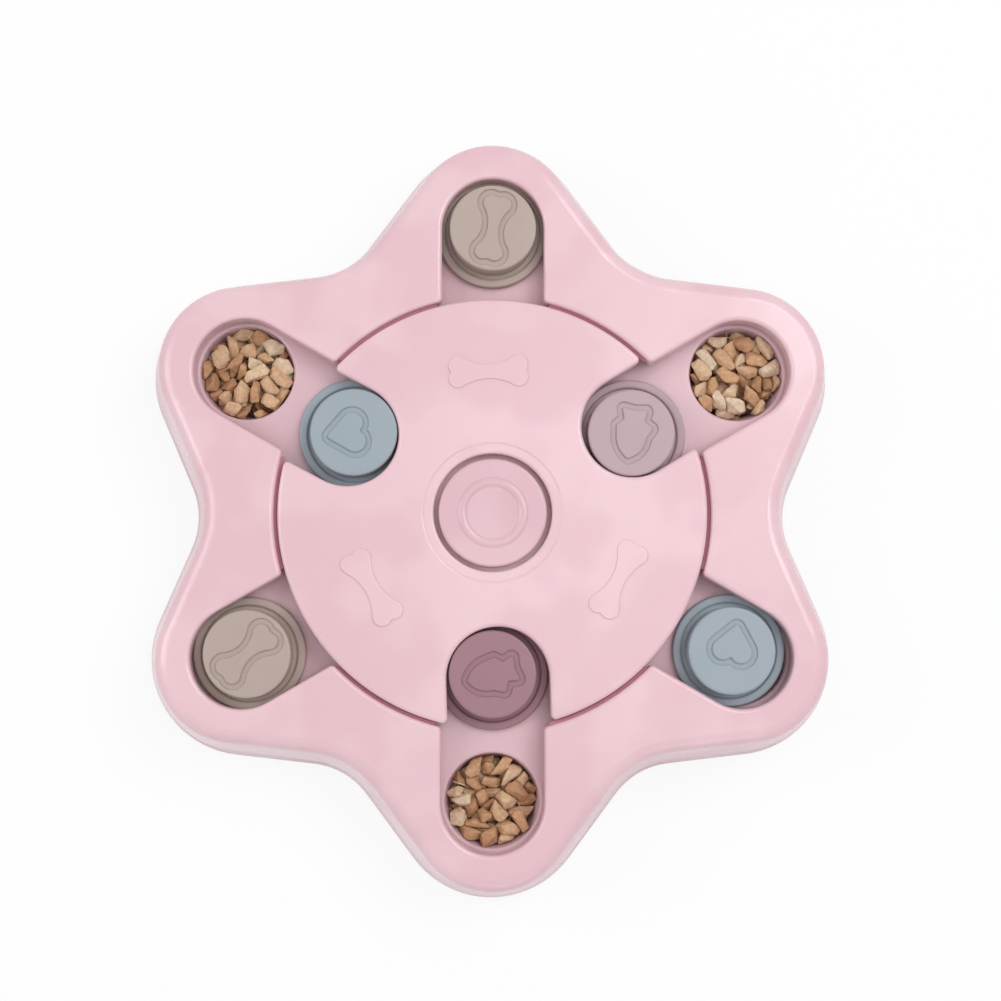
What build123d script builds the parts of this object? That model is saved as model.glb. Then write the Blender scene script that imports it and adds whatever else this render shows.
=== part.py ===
from build123d import *

import os
from math import acos, asin, atan2, cos, degrees, hypot, radians, sin, sqrt, tan

# Dog puzzle feeder: a six-lobed star case with a food well in each lobe. Round pucks slide in
# radial slots over the wells. Three of them ride in a turntable in the middle, which also
# carries a squeak button. Millimetres, +Z up, origin on the turntable axis at the floor.

# ---------------------------------------------------------------- driving dimensions
lobe_count = 6
first_lobe = 30.0  # direction of the first lobe, degrees from +X
turntable_radius = 71.4
seam_gap = 1.3  # ring gap between turntable and cover
slot_inset = 16.6  # turntable's rim to the centre of a slot's round inner end
cover_puck_travel = 9.4  # how far a puck of the cover slides in from the middle of its well
tip_land = 18.35  # end of a slot to the tip of its lobe, at the foot of the case
lobe_arc = 33.4  # radius of the round end of a lobe
valley_land = 29.5  # opening to the deepest point between two lobes
valley_arc = 26.2  # radius of the hollow curve between two lobes
side_draft = 12.0  # lean of the side wall, degrees

foot_proud = 1.2  # how far the feet lift the case
part_line = 9.0  # height of the joint between tray and cover
deck_top = 24.0  # the floor on which the pucks slide
crown_rise = 11.6  # top of the crowned surface over the deck, on the axis
crown_radius = 2600.0  # radius of the crown
edge_round = 5.0  # rounding between top and side
mouth_round = 1.3  # rounding of the slot mouths and of the turntable's rim
corner_extra = 0.4  # how much wider the pointed corners beside a slot are rounded, seen from above

cover_wall = 2.4
cover_plate = 2.6
tray_wall = 2.2
deck_plate = 2.2
seat_gap = 0.3  # between the cover's wall and the tray's upstand
collar_wall = 1.8  # skirt that hangs round each opening
rib_wall = 1.8
cut_over = 1.0  # how far a cut runs past the faces it opens

knob_radius = 14.5
knob_play = 2.55  # between a knob and the side of its slot
knob_drop = 1.0  # knobs stand this far below the crown's top
knob_round = 0.8
flange_lip = 4.3  # flange beyond the knob
flange_thick = 2.5
flange_round = 0.8
moat_width = 1.4  # groove in the flange round the foot of the knob
moat_depth = 1.2
puck_wall = 2.0
puck_lift = 0.3  # running gap under a puck
flange_headroom = 0.5  # running gap over its flange
rail_gap = 0.4  # beside the flange, between the guide rails
rail_wall = 1.6
side_gap = 0.25  # left between knob and turntable slot where the turntable rests
stop_gap = 0.3  # left between a knob and what stops it
pass_gap = 0.4  # between the flanges of two pucks that pass each other
left_puck_inset = 2.2  # the left bone puck stands this far in from the middle of its well

well_inset = 1.25  # slot's round end to the mouth of the well below it
well_taper = 2.6  # well's mouth to the foot of its wall
well_floor = 5.8
well_floor_round = 4.0
well_mouth_round = 0.9
well_wall = 1.8

bore_radius = 19.65  # turntable's hole round the button
bore_round = 0.9
bore_lip = 3.0  # sunk flat lip round the bore
bore_lip_drop = 0.45  # lip stands this far below the crown's top
bore_lip_round = 0.9  # rounding of the step down to the lip
button_gap = 1.6  # ring gap round the button
button_edge_round = 1.0
button_drop = 0.6  # button stands this far below the crown's top
button_wall = 2.2
button_catch = 1.45  # button's flange beyond the bore, under the turntable
button_flange_thick = 1.6
button_flange_gap = 0.2
button_travel = 3.0
button_clear = 0.7  # left over the retainer's bosses when the button is down
crest_inner = 8.6  # foot of the raised ring on the button's face, towards its dished middle
crest_width = 3.2
crest_height = 0.6
dish_depth = 0.3  # how much deeper than the ring's foot the button's middle lies

sleeve_gap = 0.4  # round the button's flange
sleeve_wall = 4.4
journal_gap = 0.08  # running fit of the sleeve in the tray
journal_wall = 2.4
journal_length = 6.2
glide_inset = 8.6  # turntable's rim to the inner side of its glides
glide_wall = 2.4
glide_lift = 0.15
glide_half_angle = 30.0
web_wall = 1.6
web_angle = 21.0  # turntable webs stand this far to each side of a land's middle

retainer_lip = 1.9  # retainer's flange beyond the sleeve, under the journal
retainer_plate = 2.2
retainer_play = 0.3  # axial play of the turntable
retainer_bolt_inset = 2.1  # sleeve's inner face to the retainer screws
retainer_boss_radius = 2.7
retainer_boss_height = 6.6
retainer_screw_count = 3
cup_gap = 0.5  # between the retainer's cup and the screw bosses
cup_wall = 1.8
cup_floor = 8.0
cup_plate = 2.0

reed_radius = 4.2
reed_gap = 0.1
reed_lip = 2.2  # reed's flange beyond its body
reed_flange_thick = 1.2
reed_height = 5.6
reed_drop = 1.0
reed_bore = 1.2
bellows_gap = 1.8  # between bellows and cup
bellows_fold_depth = 2.4
bellows_wall = 1.2
bellows_folds = 3

foot_radius = 9.2
foot_height = 3.6
foot_round = 0.9
foot_ring_wall = 1.6
foot_ring_gap = 0.1

post_inset = 10.3  # cover's opening to the case screws
case_post_radius = 3.9
case_boss_radius = 4.9
case_boss_height = 6.4
case_seat = 2.4  # floor that a case screw's head bears on
screw_gap = 0.05  # between a thread's root and its pilot hole
head_gap = 0.3
case_screw_radius = 1.45
case_screw_head = 2.8
case_screw_head_height = 2.0
case_screw_grip = 6.0  # thread in the cover's post
retainer_screw_radius = 1.1
retainer_screw_head = 2.3
retainer_screw_head_height = 1.7
retainer_screw_grip = 4.8
recess_radius = 0.9  # driver recess
recess_depth = 1.0

bone_inset = 24.4  # turntable's rim to the middle of a raised bone
bone_length = 26.5
bone_width = 10.6
bone_shaft = 4.8
bone_notch_round = 1.0  # rounding between the two knuckles of an end
bone_raise = 0.6
icon_raise = 0.2
icon_round = 0.45  # rounding of the edges on both sides of the groove
groove_width = 1.8
groove_depth = 0.75
icon_margin = 0.4  # between a small bone's groove and the knob's rounding
small_bone_width = 9.6
small_bone_shaft = 3.8
heart_width = 13.4
heart_height = 13.0
fish_length = 17.6
fish_height = 10.2

# ---------------------------------------------------------------- worked out from them
lobe_step = 360 / lobe_count
lobe_angles = [first_lobe + k * lobe_step for k in range(lobe_count)]
valley_angles = [a + lobe_step / 2 for a in lobe_angles]
carried_angles = lobe_angles[0::2]  # lobes whose pucks ride in the turntable

corner_round = mouth_round + corner_extra
opening_radius = turntable_radius + seam_gap
slot_half_width = knob_radius + knob_play
slot_inner_radius = turntable_radius - slot_inset
fixed_inner_stop = turntable_radius + knob_radius + stop_gap
slot_end_radius = fixed_inner_stop + cover_puck_travel  # to a slot's round end, and to its well
tip_radius = slot_end_radius + slot_half_width + tip_land
valley_radius = opening_radius + valley_land
case_bolt_circle = opening_radius + post_inset
upstand_inset = cover_wall + seat_gap
well_radius = slot_half_width - well_inset
well_floor_radius = well_radius - well_taper

crown_apex = deck_top + crown_rise
rib_apex = crown_apex - (cover_plate + mouth_round) / 2  # ribs end inside the plate, under its rounding
knob_top = crown_apex - knob_drop
button_top = crown_apex - button_drop
flange_radius = knob_radius + flange_lip
flange_bottom = deck_top + puck_lift
flange_top = flange_bottom + flange_thick
skirt_bottom = flange_top + flange_headroom

rest_turn = degrees(asin((knob_play - side_gap) / turntable_radius))
land_angles = [a + rest_turn + lobe_step for a in carried_angles]  # between the turntable's slots
off_line = slot_inner_radius * sin(radians(rest_turn))
carried_rest = slot_inner_radius * cos(radians(rest_turn)) - sqrt(
    (knob_play - stop_gap) ** 2 - off_line**2
)
pushed_rest = max(carried_rest + 2 * flange_radius + pass_gap, fixed_inner_stop)
rail_bottom = deck_top + rail_gap
rail_start = max(opening_radius + collar_wall, carried_rest + flange_radius + 2 * pass_gap)
rail_half_width = flange_radius + rail_gap

button_radius = bore_radius - button_gap
button_flange_radius = bore_radius + button_catch
button_ceiling = button_top - crest_height - dish_depth - button_wall
sleeve_inner = button_flange_radius + sleeve_gap
sleeve_outer = sleeve_inner + sleeve_wall
journal_bottom = deck_top - journal_length
sleeve_bottom = journal_bottom - retainer_play
button_flange_low = sleeve_bottom + retainer_boss_height + button_travel + button_clear
button_flange_top = button_flange_low + button_flange_thick
button_stop = button_flange_top + button_flange_gap  # underside of the collar round the bore
glide_inner = turntable_radius - glide_inset
retainer_radius = sleeve_outer + retainer_lip
retainer_bottom = sleeve_bottom - retainer_plate
retainer_bolt_circle = sleeve_inner - retainer_bolt_inset
cup_radius = retainer_bolt_circle - retainer_boss_radius - cup_gap - cup_wall
cup_floor_top = cup_floor + cup_plate
reed_flange_radius = reed_radius + reed_lip
bellows_radius = cup_radius - bellows_gap
bellows_waist = bellows_radius - bellows_fold_depth
bone_radius = turntable_radius - bone_inset
small_bone_length = 2 * (knob_radius - knob_round - icon_margin - icon_round - groove_width)
small_notch_round = groove_width + icon_round * 4 / 3  # lets the groove and its rounding follow


def polar(radius, angle):
    """A point at this distance and direction from the axis."""
    return (radius * cos(radians(angle)), radius * sin(radians(angle)))


def side_inset(height):
    """How far the leaning side wall has moved inwards at this height."""
    return (height - foot_proud) * tan(radians(side_draft))


def crown_height(radius, apex):
    """Height of the crowned surface at this distance from the axis."""
    return apex - crown_radius + sqrt(crown_radius**2 - radius**2)


# ---------------------------------------------------------------- shared forms
def star_face(inset):
    """Six lobes and six hollows as tangent arcs joined by straight runs, offset inwards by inset."""
    lobe_centre = tip_radius - lobe_arc
    valley_centre = valley_radius + valley_arc
    half_step = 180 / lobe_count
    along = polar(valley_centre, 0)
    up = polar(lobe_centre, half_step)
    span = hypot(along[0] - up[0], along[1] - up[1])
    lean = degrees(atan2(along[1] - up[1], along[0] - up[0]))
    normal = lean + degrees(acos((lobe_arc + valley_arc) / span))
    half_sweep = half_step - normal
    with BuildSketch() as outline:
        with BuildLine():
            for lobe, valley in zip(lobe_angles, valley_angles):
                lobe_arc_line = CenterArc(
                    polar(lobe_centre, lobe), lobe_arc - inset, lobe - half_sweep, 2 * half_sweep
                )
                valley_arc_line = CenterArc(
                    polar(valley_centre, valley), valley_arc + inset, valley + 180 - normal, 2 * normal
                )
                Line(lobe_arc_line @ 1, valley_arc_line @ 0)
                next_lobe = lobe + 2 * half_step
                lobe_start = Vector(*polar(lobe_centre, next_lobe)) + Vector(
                    *polar(lobe_arc - inset, next_lobe - half_sweep)
                )
                Line(valley_arc_line @ 1, lobe_start)
        make_face()
    return outline.sketch


def star_block(bottom, top, wall):
    """Star-shaped block with the case's leaning sides, wall inside the outer surface."""
    with BuildPart() as block:
        with BuildSketch(Plane.XY.offset(bottom)):
            add(star_face(side_inset(bottom) + wall))
        with BuildSketch(Plane.XY.offset(top)):
            add(star_face(side_inset(top) + wall))
        loft(ruled=True)
    return block.part


def crown_block(apex):
    """Everything under the crowned surface that has this apex."""
    rim = tip_radius * 1.2
    with BuildPart() as block:
        with BuildSketch(Plane.XZ):
            with BuildLine():
                top = ThreePointArc(
                    (0, apex), (rim / 2, crown_height(rim / 2, apex)), (rim, crown_height(rim, apex))
                )
                Polyline(top @ 1, (rim, -foot_height), (0, -foot_height), top @ 0)
            make_face()
        revolve(axis=Axis.Z)
    return block.part


def bars_face(angles, start, end, width):
    """Straight bars along these directions, from one radius to another."""
    with BuildSketch() as bars:
        for angle in angles:
            with Locations(Location((*polar((start + end) / 2, angle), 0), (0, 0, angle))):
                Rectangle(end - start, width)
    return bars.sketch


def slot_face(angles, start, end, half_width):
    """Radial slots with round outer ends, from start to the centre of the round end."""
    with BuildSketch() as slots:
        add(bars_face(angles, start, end, 2 * half_width))
        for angle in angles:
            with Locations(polar(end, angle)):
                Circle(half_width)
    return slots.sketch


def opening_face(grow):
    """The cover's opening: a circle and six slots, grown by this much."""
    with BuildSketch() as opening:
        Circle(opening_radius + grow)
        add(slot_face(lobe_angles, turntable_radius / 2, slot_end_radius, slot_half_width + grow))
        half_way = (opening_radius + slot_end_radius) / 2
        corners = opening.vertices().filter_by(lambda v: hypot(v.X, v.Y) < half_way)
        fillet(corners, corner_round - grow / 2)
    return opening.sketch


def turntable_face(shrink):
    """The turntable's outline: a disc with three slots open at the rim, shrunk by this much."""
    angles = [a + rest_turn for a in carried_angles]
    half_width = slot_half_width + shrink
    with BuildSketch() as outline:
        Circle(turntable_radius - shrink)
        add(bars_face(angles, slot_inner_radius, opening_radius, 2 * half_width), mode=Mode.SUBTRACT)
        for angle in angles:
            with Locations(polar(slot_inner_radius, angle)):
                Circle(half_width, mode=Mode.SUBTRACT)
        half_way = (turntable_radius + slot_inner_radius) / 2
        corners = outline.vertices().filter_by(lambda v: hypot(v.X, v.Y) > half_way)
        fillet(corners, corner_round - shrink / 2)
    return outline.sketch


def bone_face(length, width, shaft, notch_round):
    """A dog bone: two pairs of round knuckles joined by a waisted shaft that runs tangent to them."""
    knuckle = width / 4 + shaft / 10
    x = length / 2 - knuckle
    y = width / 2 - knuckle
    waist = shaft / 2
    side_radius = (x**2 + (y - waist) ** 2 - knuckle**2) / (width - 2 * waist)
    reach = side_radius / (side_radius + knuckle)
    touch = (x * reach, (waist + side_radius) + (y - waist - side_radius) * reach)
    with BuildSketch() as bone:
        with BuildLine():
            ThreePointArc((-touch[0], touch[1]), (0, waist), touch)
            knuckle_end = (x + sqrt(knuckle**2 - y**2), 0)
            outside = Vector(x, y) + Vector(*polar(knuckle, 45))
            ThreePointArc(touch, (outside.X, outside.Y), knuckle_end)
            ThreePointArc((-touch[0], touch[1]), (-outside.X, outside.Y), (-knuckle_end[0], 0))
            mirror(about=Plane.XZ)
        make_face()
        fillet(bone.vertices().filter_by(lambda v: abs(v.Y) < waist / 4), notch_round)
    return bone.sketch


def heart_face(width, height):
    """A heart with its point towards +Y: two round lobes and the two tangents to the point."""
    lobe = width * 0.27
    centre = width / 2 - lobe
    point = height - lobe
    towards = degrees(atan2(point, -centre)) - degrees(acos(lobe / hypot(centre, point)))
    touch = Vector(centre, 0) + Vector(*polar(lobe, towards))
    with BuildSketch() as heart:
        with Locations((centre, 0), (-centre, 0)):
            Circle(lobe)
        with BuildLine():
            Polyline(
                (0, point),
                (touch.X, touch.Y),
                (centre, 0),
                (-centre, 0),
                (-touch.X, touch.Y),
                close=True,
            )
        make_face()
        fillet(heart.vertices().sort_by(Axis.Y)[-1], width * 0.08)
        fillet([v for v in heart.vertices() if abs(v.X) < 0.01 and v.Y < 0], width * 0.05)
    return heart.sketch


def fish_face(length, height):
    """A plump fish with its nose towards -X, a broad tail, a low back fin and a belly fin."""
    nose = (-length / 2, 0)
    with BuildSketch() as fish:
        with BuildLine():
            back = ThreePointArc(nose, (-length * 0.3, height * 0.36), (-length * 0.02, height / 2))
            belly = ThreePointArc(nose, (-length * 0.32, -height * 0.38), (-length * 0.06, -height / 2))
            Polyline(
                back @ 1,
                (length * 0.1, height * 0.54),
                (length * 0.24, height * 0.32),
                (length * 0.46, height * 0.46),
                (length * 0.43, 0),
                (length * 0.48, -height * 0.42),
                (length * 0.26, -height * 0.34),
                (length * 0.15, -height * 0.68),
                belly @ 1,
            )
        make_face()
        fillet(fish.vertices(), length * 0.035)
    return fish.sketch


def edges_over(face, outline):
    """The face's edges that stand straight over this flat outline."""
    wire = outline.face().outer_wire()
    found = []
    for edge in face.edges():
        middle = edge @ 0.5
        if wire.distance_to(Vertex(middle.X, middle.Y, 0)) < 0.01:
            found.append(edge)
    return found


def circle_face(radius):
    """A flat disc on the axis."""
    with BuildSketch() as disc:
        Circle(radius)
    return disc.sketch


def screw_solid(seat, radius, head_radius, head_height, length):
    """A pan-head screw driven upwards, its head under the height seat."""
    with BuildPart() as screw:
        with BuildSketch(Plane.XZ):
            with BuildLine():
                Polyline(
                    (0, seat - head_height),
                    (head_radius * 0.7, seat - head_height),
                    (head_radius, seat - head_height * 0.55),
                    (head_radius, seat),
                    (radius, seat),
                    (radius, seat + length - radius),
                    (radius * 0.35, seat + length),
                    (0, seat + length),
                    close=True,
                )
            make_face()
        revolve(axis=Axis.Z)
        with BuildSketch(Plane.XY.offset(seat - head_height)):
            Rectangle(2 * recess_radius, recess_radius * 0.6)
            Rectangle(recess_radius * 0.6, 2 * recess_radius)
        extrude(amount=recess_depth, mode=Mode.SUBTRACT)
    return screw.part


def finish(part, name):
    """Label a finished piece and write it to its own file."""
    part.label = name
    export_step(part, f"parts/{name}.step")


os.makedirs("parts", exist_ok=True)

# ---------------------------------------------------------------- base tray
# One moulding: a deck on which the pucks slide, six wells that hang from it, an outer wall that
# reaches down to the floor, and a round journal in the middle for the turntable.
with BuildPart() as well_cup:
    outer_top = well_radius + well_wall
    outer_low = well_floor_radius + well_wall
    with BuildSketch(Plane.XZ):
        with BuildLine():
            Polyline(
                (0, well_floor - well_wall),
                (outer_low - well_floor_round, well_floor - well_wall),
                (outer_low, well_floor - well_wall + well_floor_round),
                (outer_top, deck_top - deck_plate / 2),
                (0, deck_top - deck_plate / 2),
                close=True,
            )
        make_face()
    revolve(axis=Axis.Z)
    with BuildSketch(Plane.XY.offset(foot_height - foot_ring_gap - well_wall)):
        Circle(foot_radius + foot_ring_gap + foot_ring_wall)
    extrude(amount=well_floor - foot_height + foot_ring_gap + well_wall / 2)
    with BuildSketch(Plane.XY.offset(-foot_height)):
        Circle(foot_radius + foot_ring_gap)
    extrude(amount=2 * foot_height, mode=Mode.SUBTRACT)

with BuildPart() as well_hollow:
    with BuildSketch(Plane.XZ):
        with BuildLine():
            floor_line = Line((0, well_floor), (well_floor_radius - well_floor_round, well_floor))
            bend = TangentArc(
                floor_line @ 1,
                (well_floor_radius, well_floor + well_floor_round),
                tangent=floor_line % 1,
            )
            lip = Line(bend @ 1, (well_radius, deck_top - well_mouth_round))
            roll = RadiusArc(lip @ 1, (well_radius + well_mouth_round, deck_top), well_mouth_round)
            Polyline(
                roll @ 1,
                (well_radius + well_mouth_round, deck_top + cut_over),
                (0, deck_top + cut_over),
                floor_line @ 0,
            )
        make_face()
    revolve(axis=Axis.Z)

with BuildPart() as base_tray:
    add(star_block(foot_proud, part_line, 0))
    add(star_block(part_line - deck_plate, deck_top, upstand_inset))
    tray_inside = upstand_inset + tray_wall
    add(star_block(foot_proud - cut_over, part_line - deck_plate, tray_wall), mode=Mode.SUBTRACT)
    add(
        star_block(part_line - deck_plate - cut_over, deck_top - deck_plate, tray_inside),
        mode=Mode.SUBTRACT,
    )
    journal_inner = sleeve_outer + journal_gap
    rib_root = journal_inner + journal_wall / 2
    valley_wall = valley_radius - side_inset(deck_top) - upstand_inset - tray_wall / 2
    well_side = slot_end_radius - well_radius - well_wall / 2
    with BuildSketch(Plane.XY.offset(journal_bottom)):
        add(bars_face(valley_angles, rib_root, valley_wall, rib_wall))
        add(bars_face(lobe_angles, rib_root, well_side, rib_wall))
    extrude(amount=journal_length - deck_plate / 2)
    with BuildSketch(Plane.XY.offset(journal_bottom)):
        Circle(journal_inner + journal_wall)
    extrude(amount=journal_length)
    with BuildSketch(Plane.XY.offset(journal_bottom - cut_over)):
        Circle(journal_inner)
    extrude(amount=journal_length + 2 * cut_over, mode=Mode.SUBTRACT)
    with BuildSketch(Plane.XY.offset(deck_top - case_boss_height - deck_plate / 2)):
        with PolarLocations(case_bolt_circle, lobe_count, start_angle=valley_angles[0]):
            Circle(case_boss_radius)
    extrude(amount=case_boss_height)
    with PolarLocations(slot_end_radius, lobe_count, start_angle=first_lobe):
        add(well_cup.part)
    with PolarLocations(slot_end_radius, lobe_count, start_angle=first_lobe):
        add(well_hollow.part, mode=Mode.SUBTRACT)
    with BuildSketch(Plane.XY.offset(deck_top - case_boss_height - deck_plate)):
        with PolarLocations(case_bolt_circle, lobe_count, start_angle=valley_angles[0]):
            Circle(case_screw_head + head_gap)
    extrude(amount=case_boss_height + deck_plate - case_seat, mode=Mode.SUBTRACT)
    with BuildSketch(Plane.XY.offset(deck_top - case_seat - cut_over)):
        with PolarLocations(case_bolt_circle, lobe_count, start_angle=valley_angles[0]):
            Circle(case_screw_radius + head_gap)
    extrude(amount=case_seat + 2 * cut_over, mode=Mode.SUBTRACT)
finish(base_tray.part, "base_tray")

# ---------------------------------------------------------------- top cover
# A crowned star shell. Skirts hang round its opening, rails under it guide the pucks' flanges,
# and six posts stand on the deck and take the case screws.
with BuildPart() as cover_inside:
    with BuildSketch(Plane.XY.offset(skirt_bottom)):
        add(opening_face(collar_wall))
    extrude(amount=crown_apex - skirt_bottom)
    with BuildSketch(Plane.XY.offset(rail_bottom)):
        add(slot_face(lobe_angles, rail_start / 2, slot_end_radius, rail_half_width + rail_wall))
        add(slot_face(lobe_angles, rail_start / 2, slot_end_radius, rail_half_width), mode=Mode.SUBTRACT)
        Circle(rail_start, mode=Mode.SUBTRACT)
    extrude(amount=crown_apex - rail_bottom)
    with BuildSketch(Plane.XY.offset(deck_top)):
        with PolarLocations(case_bolt_circle, lobe_count, start_angle=valley_angles[0]):
            Circle(case_post_radius)
    extrude(amount=crown_apex - deck_top)
    add(crown_block(rib_apex), mode=Mode.INTERSECT)

with BuildPart() as cover_hollow:
    add(star_block(part_line - cut_over, crown_apex, cover_wall))
    add(crown_block(crown_apex - cover_plate), mode=Mode.INTERSECT)

with BuildPart() as top_cover:
    add(star_block(part_line, crown_apex + cut_over, 0))
    add(crown_block(crown_apex), mode=Mode.INTERSECT)
    fillet(top_cover.faces().sort_by(Axis.Z)[-1].outer_wire().edges(), edge_round)
    add(cover_hollow.part, mode=Mode.SUBTRACT)
    add(cover_inside.part)
    with BuildSketch(Plane.XY.offset(part_line)):
        add(opening_face(0))
    extrude(amount=crown_apex, mode=Mode.SUBTRACT)
    with BuildSketch(Plane.XY.offset(deck_top - cut_over)):
        with PolarLocations(case_bolt_circle, lobe_count, start_angle=valley_angles[0]):
            Circle(case_screw_radius + screw_gap)
    extrude(amount=case_screw_grip + 2 * cut_over, mode=Mode.SUBTRACT)
    fillet(edges_over(top_cover.faces().sort_by(Axis.Z)[-1], opening_face(0)), mouth_round)
finish(top_cover.part, "top_cover")

# ---------------------------------------------------------------- turntable
# A crowned disc with three slots. Its sleeve turns in the tray's journal, three curved glides
# carry it on the deck, and three bones are raised on its face.
with BuildPart() as bone_pads:
    with BuildSketch(Plane.XY.offset(crown_apex - cover_plate)):
        for land in land_angles:
            with Locations(Location((*polar(bone_radius, land), 0), (0, 0, land + 90))):
                add(bone_face(bone_length, bone_width, bone_shaft, bone_notch_round))
    extrude(amount=crown_height(bone_radius, crown_apex) + bone_raise - crown_apex + cover_plate)
    fillet(bone_pads.edges().group_by(Axis.Z)[-1], bone_raise * 0.6)

with BuildPart() as turntable_inside:
    with BuildSketch(Plane.XY.offset(skirt_bottom)):
        add(turntable_face(0))
        add(turntable_face(collar_wall), mode=Mode.SUBTRACT)
    extrude(amount=crown_apex - skirt_bottom)
    web_angles = [land + side * web_angle for land in land_angles for side in (-1, 1)]
    with BuildSketch(Plane.XY.offset(skirt_bottom)):
        add(bars_face(web_angles, sleeve_inner, turntable_radius - collar_wall / 2, web_wall))
    extrude(amount=crown_apex - skirt_bottom)
    with BuildSketch(Plane.XY.offset(deck_top + glide_lift)):
        for land in land_angles:
            with BuildLine():
                inner_arc = CenterArc((0, 0), glide_inner, land - glide_half_angle, 2 * glide_half_angle)
                outer_arc = CenterArc(
                    (0, 0), glide_inner + glide_wall, land - glide_half_angle, 2 * glide_half_angle
                )
                Line(inner_arc @ 0, outer_arc @ 0)
                Line(inner_arc @ 1, outer_arc @ 1)
            make_face()
    extrude(amount=crown_apex - deck_top)
    with BuildSketch(Plane.XY.offset(sleeve_bottom)):
        Circle(sleeve_outer)
        Circle(sleeve_inner, mode=Mode.SUBTRACT)
    extrude(amount=crown_apex - sleeve_bottom)
    with BuildSketch(Plane.XY.offset(sleeve_bottom)):
        with PolarLocations(retainer_bolt_circle, retainer_screw_count, start_angle=first_lobe):
            Circle(retainer_boss_radius)
    extrude(amount=retainer_boss_height)
    with BuildSketch(Plane.XY.offset(sleeve_bottom)):
        with PolarLocations(retainer_bolt_circle, retainer_screw_count, start_angle=first_lobe):
            Circle(retainer_screw_radius + screw_gap)
    extrude(amount=retainer_screw_grip + cut_over, mode=Mode.SUBTRACT)
    add(crown_block(rib_apex), mode=Mode.INTERSECT)

with BuildPart() as turntable:
    lip_radius = bore_radius + bore_lip
    with BuildSketch(Plane.XY.offset(deck_top)):
        add(turntable_face(0))
        Circle(lip_radius, mode=Mode.SUBTRACT)
    extrude(amount=crown_apex)
    add(crown_block(crown_apex), mode=Mode.INTERSECT)
    add(crown_block(crown_apex - cover_plate), mode=Mode.SUBTRACT)
    fillet(edges_over(turntable.faces().sort_by(Axis.Z)[-1], turntable_face(0)), mouth_round)
    fillet(edges_over(turntable.faces().sort_by(Axis.Z)[-1], circle_face(lip_radius)), bore_lip_round)
    with BuildSketch(Plane.XY.offset(button_stop)):
        Circle(sleeve_outer)
        Circle(bore_radius, mode=Mode.SUBTRACT)
    extrude(amount=crown_apex - bore_lip_drop - button_stop)
    lip_face = turntable.faces().filter_by(Axis.Z).sort_by(Axis.Z)[-1]
    fillet(edges_over(lip_face, circle_face(bore_radius)), bore_round)
    add(turntable_inside.part)
    add(bone_pads.part)
finish(turntable.part, "turntable")

# ---------------------------------------------------------------- squeak button
# A round cap with a soft raised ring on its face and a slightly dished middle. Its flange is trapped
# under the collar of the turntable's bore.
with BuildPart() as squeak_button:
    crest_foot = button_top - crest_height
    crest_middle = (crest_inner + crest_width / 2, button_top)
    crest_outer = crest_inner + crest_width
    with BuildSketch(Plane.XZ):
        with BuildLine():
            dish = ThreePointArc(
                (0, crest_foot - dish_depth),
                (crest_inner * 0.7, crest_foot - dish_depth / 2),
                (crest_inner, crest_foot),
            )
            crest = ThreePointArc(dish @ 1, crest_middle, (crest_outer, crest_foot))
            edge = Line(crest @ 1, (button_radius - button_edge_round, crest_foot))
            shoulder_foot = (button_radius, crest_foot - button_edge_round)
            shoulder = RadiusArc(edge @ 1, shoulder_foot, button_edge_round)
            Polyline(
                shoulder @ 1,
                (button_radius, button_flange_top),
                (button_flange_radius, button_flange_top),
                (button_flange_radius, button_flange_low),
                (button_radius - button_wall, button_flange_low),
                (button_radius - button_wall, button_ceiling),
                (0, button_ceiling),
                dish @ 0,
            )
        make_face()
    revolve(axis=Axis.Z)
finish(squeak_button.part, "squeak_button")

# ---------------------------------------------------------------- hub retainer
# A flanged cup screwed up into the sleeve. Its flange runs under the tray's journal and keeps the
# turntable down, and its cup holds the squeaker.
with BuildPart() as hub_retainer:
    with BuildSketch(Plane.XZ):
        with BuildLine():
            Polyline(
                (reed_radius + reed_gap, cup_floor),
                (cup_radius + cup_wall, cup_floor),
                (cup_radius + cup_wall, retainer_bottom),
                (retainer_radius, retainer_bottom),
                (retainer_radius, sleeve_bottom),
                (cup_radius, sleeve_bottom),
                (cup_radius, cup_floor_top),
                (reed_radius + reed_gap, cup_floor_top),
                close=True,
            )
        make_face()
    revolve(axis=Axis.Z)
    with BuildSketch(Plane.XY.offset(retainer_bottom - cut_over)):
        with PolarLocations(retainer_bolt_circle, retainer_screw_count, start_angle=first_lobe):
            Circle(retainer_screw_radius + head_gap)
    extrude(amount=retainer_plate + 2 * cut_over, mode=Mode.SUBTRACT)
finish(hub_retainer.part, "hub_retainer")

# ---------------------------------------------------------------- squeaker
# A soft bellows between cup floor and button, and the reed plug that sounds when it is pressed.
with BuildPart() as squeaker_reed:
    with BuildSketch(Plane.XY.offset(cup_floor - reed_drop)):
        Circle(reed_radius)
    extrude(amount=reed_height)
    with BuildSketch(Plane.XY.offset(cup_floor_top)):
        Circle(reed_flange_radius)
    extrude(amount=reed_flange_thick)
    with BuildSketch(Plane.XY.offset(cup_floor - reed_drop)):
        Circle(reed_bore)
    extrude(amount=reed_height, mode=Mode.SUBTRACT)
finish(squeaker_reed.part, "squeaker_reed")

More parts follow.
